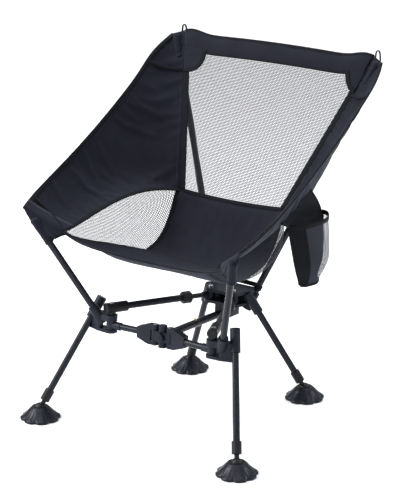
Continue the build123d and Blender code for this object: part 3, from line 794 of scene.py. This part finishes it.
for name, side in SIDES:
    corner = thicken(
        panel(f"front_corner_cloth_{name}", lambda a, b, side=side: corner_at(side, a, b),
              *GRID_CORNER, finish["sling_fabric"]), CORNER_CLOTH,
    )
    finish_piece(corner, sling_root)
    fold_with_frame(corner)
    tape(
        f"front_corner_hem_{name}",
        lambda t, side=side: corner_at(side, t, 1.0),
        lambda t, side=side: corner_at(side, t, 0.8),
        width=0.005, thickness=0.0026, steps=50,
    )
    tape(
        f"front_corner_seam_{name}",
        lambda t, side=side: side_at(side, t, CORNER_SEAM * math.sin(math.pi * t / 2))
        + Vector((0, 0, 0.0012)),
        lambda t, side=side: side_at(side, t, 0.02 + CORNER_SEAM * math.sin(math.pi * t / 2)),
        width=0.006, thickness=0.0022, steps=40,
    )

SLEEVE_INSIDE = 0.00665
SLEEVE_OUTSIDE = 0.0082
SLEEVE_HEM = 0.0005
SLEEVE_CREASE = 0.0006


def sleeve_radius(radius, height, angle):
    if radius < SLEEVE_INSIDE + 0.0003:
        return radius
    spot = Vector((math.cos(angle) * 2, math.sin(angle) * 2, height * 160))
    return radius + SLEEVE_CREASE * noise.noise(spot)


def pole_sleeves(name, foot, tip, length, node):
    """The sewn pockets over both poles' tips, as one piece."""
    along = (tip - foot).normalized()
    start = tip - along * length
    rows = [(0.0003, length - 0.0006), (SLEEVE_INSIDE, length - 0.0006), (SLEEVE_INSIDE, 0.0)]
    rows += [(SLEEVE_OUTSIDE + SLEEVE_HEM, 0.0), (SLEEVE_OUTSIDE + SLEEVE_HEM, 0.005)]
    rows += [(SLEEVE_OUTSIDE, 0.0055 + (length - 0.0055) * k / 14) for k in range(15)]
    rows += [(SLEEVE_OUTSIDE * 0.82, length + 0.003), (0.0003, length + 0.0048)]
    made = revolve(name, rows, start, along, finish["sling_fabric"], 28, sleeve_radius)
    twin = made.data.copy()
    twin.transform(((-1, 0, 0, 0), (0, 1, 0, 0), (0, 0, 1, 0), (0, 0, 0, 1)))
    twin.flip_normals()
    points = [v.co for v in made.data.vertices] + [v.co for v in twin.vertices]
    count = len(made.data.vertices)
    faces = [tuple(f.vertices) for f in made.data.polygons]
    faces += [tuple(i + count for i in f.vertices) for f in twin.polygons]
    bpy.data.objects.remove(made)
    both = piece(name, points, faces, finish["sling_fabric"])
    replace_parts(finish_piece(both, sling_root), node)
    fold_with_frame(both)


pole_sleeves("seat_sleeves", SEAT_FOOT, SEAT_TIP, 0.052, "seat_pole_pockets")
pole_sleeves("back_sleeves", BACK_FOOT, BACK_TIP, 0.044, "back_pole_pockets")

# ---------------------------------------------------------------- hanging loops
LOOP_WIDTH = 0.010
LOOP_HEIGHT = 0.0155
LOOP_SUNK = 0.006
loop_points, loop_faces = [], []
for name, side in SIDES:
    foot = TOP_CORNER + Vector((0.006, 0.004, 0.002))

    def loop_path(t, side=side, foot=foot):
        turn = math.pi * (1 - t)
        across = math.copysign(abs(math.cos(turn)) ** 0.7, math.cos(turn))
        rise = (LOOP_HEIGHT + LOOP_SUNK) * math.sin(turn) ** 0.6
        return Vector((foot.x * side + LOOP_WIDTH / 2 * across, foot.y, foot.z - LOOP_SUNK + rise))

    strap = sweep("loop", loop_path, lambda t, p=loop_path: p(t) + Vector((0, 1, 0)),
                  rounded_profile(0.0042, 0.0022), finish["webbing"], steps=40)
    base = len(loop_points)
    loop_points += [v.co.copy() for v in strap.data.vertices]
    loop_faces += [tuple(i + base for i in f.vertices) for f in strap.data.polygons]
    bpy.data.objects.remove(strap)
loops = piece("hanging_loops", loop_points, loop_faces, finish["webbing"])
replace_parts(finish_piece(loops, sling_root), "webbing_loops")
fold_with_frame(loops)

# ---------------------------------------------------------------- cup pocket
POUCH_BACK = 0.226
POUCH_LEVELS = (0.296, 0.332, 0.416)
POUCH_MIDDLE = (0.005, 0.009, -0.005)
POUCH_HALF = (0.024, 0.044, 0.056)
POUCH_DEPTH = (0.014, 0.033, 0.033)
POUCH_ROUNDING = 0.012
POUCH_RIPPLE = 0.0009
POUCH_GIRTH = 0.150
SOLID_SHARE = 0.24
GRID_FLAP = (30, 50)
GRID_POUCH = (16, 36)
GRID_POUCH_FLOOR = (24, 6)
FLAP_START = 0.6


def through(levels, values, height):
    """The value at a height between three levels, its corner at the middle one rounded off."""
    spots = [height + POUCH_ROUNDING * k / 2 for k in range(-2, 3)]
    return float(np.mean(np.interp(spots, levels, values)))


def pouch_at(t, b):
    """The pouch's outer wall: t runs round from front to back, b from the foot to the mouth."""
    height = mix(POUCH_LEVELS[0], POUCH_LEVELS[2], b)
    middle = through(POUCH_LEVELS, POUCH_MIDDLE, height)
    half = through(POUCH_LEVELS, POUCH_HALF, height)
    depth = through(POUCH_LEVELS, POUCH_DEPTH, height)
    angle = math.pi * (1 - t)
    ripple = POUCH_RIPPLE * math.sin(14 * t + 6 * b)
    return Vector(
        (
            POUCH_BACK + (depth + ripple) * math.sin(angle),
            middle + half * math.cos(angle),
            height,
        )
    )


def under_side_panel(s):
    """Just below the side panel, straight above the pouch's flat back."""
    inner, outer = seam_at(1, s), edge_at(1, s)
    point = side_at(1, (POUCH_BACK - inner.x) / (outer.x - inner.x), s)
    return Vector((POUCH_BACK, point.y, point.z - 0.001))


def flap_at(a, b):
    """The flat back: a runs from front to back, b from the foot up to the side panel."""
    across = 2 * a - 1
    mouth_y = POUCH_MIDDLE[2] + POUCH_HALF[2] * across - 0.004 * a
    mouth = Vector((POUCH_BACK, mouth_y, POUCH_LEVELS[2]))
    top = under_side_panel(mix(0.25, 0.465, a))
    if b < FLAP_START:
        height = mix(POUCH_LEVELS[0], POUCH_LEVELS[2], b / FLAP_START)
        middle = through(POUCH_LEVELS, POUCH_MIDDLE, height)
        half = through(POUCH_LEVELS, POUCH_HALF, height)
        return Vector((POUCH_BACK + 0.0006, middle + half * across * 0.985, height))
    share = (b - FLAP_START) / (1 - FLAP_START)
    fold = 0.003 * math.sin(7 * a + 3 * share) * math.sin(math.pi * share)
    return mix(mouth, top, share) + Vector((fold, 0, 0))


# Painted shade: the pouch's flat back takes the webbing finish, darker than the seat's cloth, to stand
# for the shade the pouch hangs in.
flap_cloth = thicken(panel("pouch_back_cloth", flap_at, *GRID_FLAP, finish["webbing"]), CORNER_CLOTH)
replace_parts(finish_piece(flap_cloth, sling_root), "cup_pocket")
fold_with_frame(flap_cloth)

pouch_height = POUCH_LEVELS[2] - POUCH_LEVELS[0]


def pouch_net_place(x, y):
    t, b = min(max(x / POUCH_GIRTH, 0), 1), min(max(y / pouch_height, 0), 1)
    return pouch_at(t, b)


def pouch_net_inside(x, y):
    return SOLID_SHARE <= x / POUCH_GIRTH <= 1 and 0 <= y / pouch_height <= 1


pouch_net = net(
    "pouch_net", pouch_net_place, pouch_net_inside, (0.0, 0.0), (POUCH_GIRTH, pouch_height),
    finish["pocket_mesh"], pitch=0.0034, strand=0.0012,
)
finish_piece(pouch_net, sling_root)
fold_with_frame(pouch_net)


def pouch_side_at(a, b):
    return pouch_at(a * SOLID_SHARE * 1.02, b)


# Painted shade: the pouch's solid front also takes the darker webbing finish, for the shade the pouch
# hangs in.
pouch_side = thicken(panel("pouch_front_cloth", pouch_side_at, *GRID_POUCH, finish["webbing"]))
finish_piece(pouch_side, sling_root)
fold_with_frame(pouch_side)


def pouch_floor_at(a, b):
    edge = pouch_at(a, 0.0)
    back = Vector((POUCH_BACK, edge.y, edge.z))
    return mix(back, edge, b) + Vector((0, 0, -0.002 * math.sin(math.pi * b)))


pouch_floor = thicken(
    panel("pouch_floor_cloth", pouch_floor_at, *GRID_POUCH_FLOOR, finish["sling_fabric"])
)
finish_piece(pouch_floor, sling_root)
fold_with_frame(pouch_floor)

# Each trim's name, its line, a line beside it on the cloth, and its width.
for label, path, inward, wide in (
    ("pouch_rim_tape", lambda t: pouch_at(t, 1.0), lambda t: pouch_at(t, 0.9), 0.009),
    ("pouch_foot_tape", lambda t: pouch_at(t, 0.0), lambda t: pouch_at(t, 0.1), 0.006),
    ("pouch_front_tape", lambda t: pouch_at(0.0, t), lambda t: pouch_at(0.06, t), 0.007),
    ("pouch_middle_tape", lambda t: pouch_at(SOLID_SHARE, t),
     lambda t: pouch_at(SOLID_SHARE + 0.05, t), 0.004),
    ("pouch_back_tape", lambda t: pouch_at(1.0, t), lambda t: pouch_at(0.94, t), 0.006),
    ("flap_front_tape", lambda t: flap_at(0.0, mix(FLAP_START, 1.0, t)),
     lambda t: flap_at(0.1, mix(FLAP_START, 1.0, t)), 0.006),
    ("flap_back_tape", lambda t: flap_at(1.0, mix(FLAP_START, 1.0, t)),
     lambda t: flap_at(0.9, mix(FLAP_START, 1.0, t)), 0.006),
):
    trim = sweep(label, path, inward, rounded_profile(wide, TAPE_THICKNESS), finish["webbing"],
                 steps=50)
    fold_with_frame(finish_piece(trim, sling_root))

# ---------------------------------------------------------------- strap between the back poles
STRAP_UP = 0.012
pole_line = (BACK_TIP - BACK_FOOT).normalized()
strap_end = BACK_FOOT + pole_line * STRAP_UP


def strap_path(t):
    x = mix(-strap_end.x, strap_end.x, t)
    return Vector((x, strap_end.y + 0.008, strap_end.z + 0.002 * math.sin(math.pi * t)))


back_strap = sweep("pole_strap", strap_path, lambda t: strap_path(t) + Vector((0, 0.3, 1)),
                   rounded_profile(0.009, 0.0016), finish["webbing"], steps=40)
finish_piece(back_strap, "root")
for name, side in SIDES:
    centre = Vector((strap_end.x * side, strap_end.y, strap_end.z))
    axis = Vector((pole_line.x * side, pole_line.y, pole_line.z))
    ring = revolve(
        f"strap_ring_{name}",
        [(0.0064, -0.0045), (0.0080, -0.0045), (0.0082, 0.0), (0.0080, 0.0045), (0.0064, 0.0045)],
        centre, axis, finish["webbing"], 32,
    )
    finish_piece(ring, "root")

# ---------------------------------------------------------------- trim of the hubs
TILT = math.radians(3.5)
FOLD_Y = Vector((0, math.cos(TILT), -math.sin(TILT)))
FOLD_UP = Vector((0, math.sin(TILT), math.cos(TILT)))
CENTRE = Vector((0, -0.128, 0.184))
button_ring = revolve(
    "centre_button_ring",
    [
        (0.0050, -0.0028), (0.0078, -0.0028), (0.0088, -0.0020), (0.0090, 0.0010),
        (0.0082, 0.0024), (0.0064, 0.0030), (0.0052, 0.0026),
    ],
    CENTRE - FOLD_Y * 0.0118, -FOLD_Y, finish["hub_plastic"], 48,
)
finish_piece(button_ring, "centre")

REAR_PIN = Vector((0.026, 0.191, 0.033))
HUB_PIN = Vector((0.114, -0.006, 0.0))
screw_outline = [
    (0.0003, 0.0), (0.0040, 0.0), (0.0046, 0.0006), (0.0042, 0.0018), (0.0030, 0.0026),
    (0.0019, 0.0028), (0.0018, 0.0012), (0.0003, 0.0010),
]
for name, side in SIDES:
    for label, body, spot, lift in (
        ("rear_screw", "root", REAR_PIN, 0.0158),
        ("strut_screw", f"front_hub_{name}", Vector((HUB_PIN.x, HUB_PIN.y, 0.033)), 0.0080),
    ):
        base = CENTRE + Vector((spot.x * side, 0, 0)) + FOLD_Y * spot.y + FOLD_UP * (spot.z + lift)
        screw = revolve(f"{label}_{name}", screw_outline, base, FOLD_UP, finish["pin_metal"], 32)
        finish_piece(screw, body)

# ---------------------------------------------------------------- stitching
STITCH_PITCH = 0.0034
STITCH_LENGTH = 0.0023
STITCH_THICKNESS = 0.00045


def stitch_row(path, toward, rise, offset):
    """Small raised stitches beside a seam."""
    line = [path(k / 240) for k in range(241)]
    reach = np.cumsum([0.0] + [(q - p).length for p, q in zip(line, line[1:])])
    made_points, made_faces = [], []
    count = int(reach[-1] / STITCH_PITCH)
    for k in range(1, count):
        t = float(np.interp(k * STITCH_PITCH, reach, np.linspace(0, 1, 241)))
        here, ahead = path(t), path(min(1.0, t + 0.002))
        along = (ahead - here).normalized()
        side = toward(t) - here
        side = (side - along * side.dot(along)).normalized()
        up = along.cross(side) * rise
        middle = here + side * offset[0] + up * offset[1]
        start = len(made_points)
        for a, b, c in ((-1, -1, 0), (1, -1, 0), (1, 1, 0), (-1, 1, 0), (-0.5, 0, 1), (0.5, 0, 1)):
            made_points.append(
                middle + along * (a * STITCH_LENGTH / 2) + side * (b * STITCH_THICKNESS / 2)
                + up * (c * STITCH_THICKNESS)
            )
        for face in ((0, 1, 2, 3), (0, 4, 5, 1), (3, 2, 5, 4), (0, 3, 4), (1, 5, 2)):
            made_faces.append(tuple(start + i for i in face))
    return made_points, made_faces


rows = [
    (lambda t: back_at(2 * t - 1, band_v), lambda t: back_at(2 * t - 1, 0.95), -1, (0.0015, 0.0014)),
    (lambda t: back_at(2 * t - 1, 0.985), lambda t: back_at(2 * t - 1, 0.9), 1, (0.0015, 0.0022)),
    (lambda t: seat_at(2 * t - 1, 0.0), lambda t: seat_at(2 * t - 1, 0.06), 1, (0.0042, 0.0012)),
]
for name, side in SIDES:
    rows += [
        (lambda t, side=side: side_at(side, 0.96, 0.02 + 0.96 * t),
         lambda t, side=side: side_at(side, 0.8, 0.02 + 0.96 * t), side, (0.001, 0.0014)),
        (lambda t, side=side: side_at(side, 0.03, 0.02 + 0.46 * t),
         lambda t, side=side: side_at(side, 0.2, 0.02 + 0.46 * t), -side, (0.0035, 0.0012)),
        (lambda t, side=side: side_at(side, 0.03, 0.52 + 0.46 * t),
         lambda t, side=side: side_at(side, 0.2, 0.52 + 0.46 * t), -side, (0.0035, 0.0012)),
    ]
stitch_points, stitch_faces = [], []
for path, toward, rise, offset in rows:
    new_points, new_faces = stitch_row(path, toward, rise, offset)
    base = len(stitch_points)
    stitch_points += new_points
    stitch_faces += [tuple(i + base for i in face) for face in new_faces]
stitching = piece("stitching", stitch_points, stitch_faces, thread_finish, smooth=False)
finish_piece(stitching, sling_root)
fold_with_frame(stitching)

# ---------------------------------------------------------------- feet
FOOT_RADIUS = 0.038
FOOT_CROWN = 0.017
FOOT_RIM = 0.005
FOOT_LOBES = 8
LOBE_CUT = 0.105
FLUTE_CUT = 0.055
FEET = {
    "front_left": (0.222, -0.216), "front_right": (-0.222, -0.216),
    "rear_left": (0.135, 0.150), "rear_right": (-0.135, 0.150),
}


def foot_radius(radius, height, angle):
    """Scallops the rim and flutes the cone above it."""
    if radius < FOOT_CROWN:
        return radius
    reach = min(1.0, (radius - FOOT_CROWN) / (FOOT_RADIUS - FOOT_CROWN))
    notch = (0.5 - 0.5 * math.cos(FOOT_LOBES * angle)) ** 4
    flute = 0.5 - 0.5 * math.cos(2 * FOOT_LOBES * angle)
    cut = LOBE_CUT * reach**2 * notch + FLUTE_CUT * reach * flute**2 * (height > FOOT_RIM)
    return radius * (1 - cut)


foot_outline = [
    (0.0003, 0.0), (0.036, 0.0), (0.0378, 0.0012), (0.038, 0.0036), (0.0365, 0.0052), (0.0335, 0.0072),
    (0.0300, 0.0100), (0.0265, 0.0132), (0.0235, 0.0162), (0.0212, 0.0184), (0.0205, 0.0196),
    (0.0188, 0.0200), (0.0184, 0.0214), (0.0172, 0.0218), (0.0162, 0.0236), (0.0148, 0.0240),
    (0.0112, 0.0240), (0.0106, 0.0232), (0.0113, 0.0200), (0.0095, 0.0135), (0.0055, 0.0101),
    (0.0003, 0.0087),
]
for name, (x, y) in FEET.items():
    foot = revolve(f"foot_shell_{name}", foot_outline, Vector((x, y, 0)), (0, 0, 1),
                   finish["foot_plastic"], 192, foot_radius)
    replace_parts(finish_piece(foot, f"foot_{name}"), f"foot_{name}")

# ---------------------------------------------------------------- camera, light and floor
scene = bpy.context.scene
VIEW_AZIMUTH = math.radians(34.65)
VIEW_ELEVATION = math.radians(18.01)
VIEW_DISTANCE = 3.505
VIEW_TARGET = Vector((0, 0.001, 0.315))
back_off = Vector(
    (
        math.sin(VIEW_AZIMUTH) * math.cos(VIEW_ELEVATION),
        -math.cos(VIEW_AZIMUTH) * math.cos(VIEW_ELEVATION),
        math.sin(VIEW_ELEVATION),
    )
)
camera = bpy.data.objects.new("camera", bpy.data.cameras.new("camera"))
camera.data.lens = 135.86
camera.data.sensor_width = 36
camera.location = VIEW_TARGET + back_off * VIEW_DISTANCE
camera.rotation_mode = "QUATERNION"
camera.rotation_quaternion = (-back_off).to_track_quat("-Z", "Y")
scene.collection.objects.link(camera)
scene.camera = camera
scene.view_settings.view_transform = "Standard"


def lamp(name, place, aim, size, power, colour=(1, 1, 1)):
    data = bpy.data.lights.new(name, "AREA")
    data.shape = "DISK"
    data.size = size
    data.energy = power
    data.color = colour
    made = bpy.data.objects.new(name, data)
    made.location = place
    made.rotation_mode = "QUATERNION"
    made.rotation_quaternion = (Vector(aim) - Vector(place)).to_track_quat("-Z", "Y")
    scene.collection.objects.link(made)


lamp("key_light", (-2.1, -1.9, 1.9), (0, 0, 0.35), 2.2, 120)
lamp("rim_light", (2.4, 1.6, 1.7), (0, 0, 0.35), 1.4, 30, (0.90, 0.94, 1.0))
lamp("top_light", (-0.4, 1.2, 3.0), (0, 0.1, 0.4), 1.8, 40)
sun = bpy.data.objects.new("soft_sun", bpy.data.lights.new("soft_sun", "SUN"))
sun.data.energy = 1.3
sun.data.angle = math.radians(75)
sun.rotation_euler = (math.radians(10), math.radians(-12), 0)
scene.collection.objects.link(sun)

# A pale dome that is brightest overhead.
world = bpy.data.worlds.new("studio")
world.use_nodes = True
dome = world.node_tree
direction = dome.nodes.new("ShaderNodeTexCoord").outputs["Generated"]
split = dome.nodes.new("ShaderNodeSeparateXYZ")
dome.links.new(direction, split.inputs["Vector"])
sky = ramp(dome, split.outputs["Z"], (0.22, 0.225, 0.24), (0.95, 0.96, 1.0), 0.05, 0.75)
dome.links.new(sky, dome.nodes["Background"].inputs["Color"])
dome.nodes["Background"].inputs["Strength"].default_value = 0.9
scene.world = world

floor_material, floor_tree, floor_shader, floor_place = shader("studio_floor", (0.9, 0.9, 0.9), 0.75)
patchy = noise_node(floor_tree, floor_place, 2.0)
floor_colour = ramp(floor_tree, patchy, (0.88, 0.88, 0.885), (0.92, 0.92, 0.925))
floor_tree.links.new(floor_colour, floor_shader.inputs["Base Color"])
FLOOR = 60.0
floor = piece(
    "studio_floor",
    [(-FLOOR, -FLOOR, 0), (FLOOR, -FLOOR, 0), (FLOOR, FLOOR, 0), (-FLOOR, FLOOR, 0)],
    [(0, 1, 2, 3)],
    floor_material,
)
